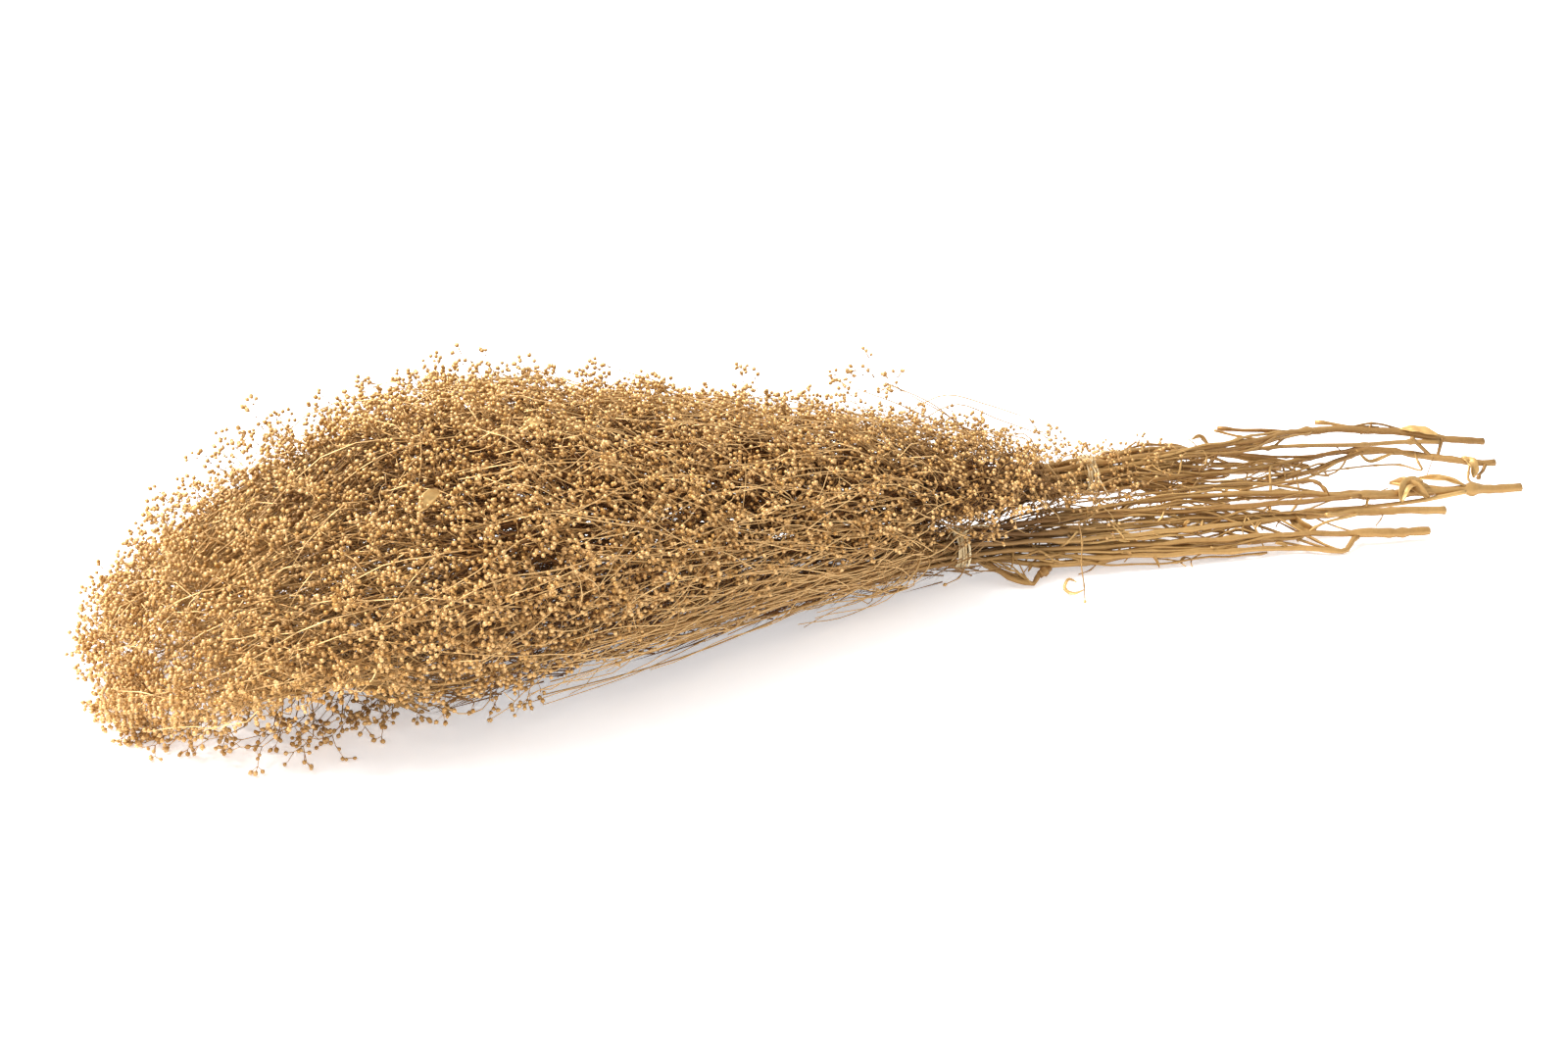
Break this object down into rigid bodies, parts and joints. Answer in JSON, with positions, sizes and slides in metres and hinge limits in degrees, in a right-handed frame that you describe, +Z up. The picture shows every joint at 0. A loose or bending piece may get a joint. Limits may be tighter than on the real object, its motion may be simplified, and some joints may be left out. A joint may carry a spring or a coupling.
{
  "type": "dried gypsophila bunch",
  "caption": "Tied bunch of dried gypsophila stems, sprayed gold and lying on its side, with a dense cloud of small round buds at one end and bare woody stems at the other.",
  "frame": {"origin": "middle of the footprint, on the surface that the bunch lies on", "axes": "+X along the bunch towards the cut ends, with the flower heads at -X; +Y across it, away from the side that the picture shows; +Z up"},
  "size_m": [0.7708, 0.2476, 0.1424],
  "materials": {
    "gold_stem": "dried plant with a thin coat of gold spray paint, satin",
    "raffia": "dry raffia strip, matt, partly gilded"
  },
  "bodies": {
    "root": {"gypsophila_stem_1": "gold_stem", "gypsophila_stem_2": "gold_stem", "gypsophila_stem_3": "gold_stem", "gypsophila_stem_4": "gold_stem", "gypsophila_stem_5": "gold_stem", "gypsophila_stem_6": "gold_stem", "gypsophila_stem_7": "gold_stem", "gypsophila_stem_8": "gold_stem", "raffia_band_front": "raffia", "raffia_band_back": "raffia"}
  },
  "joints": []
}
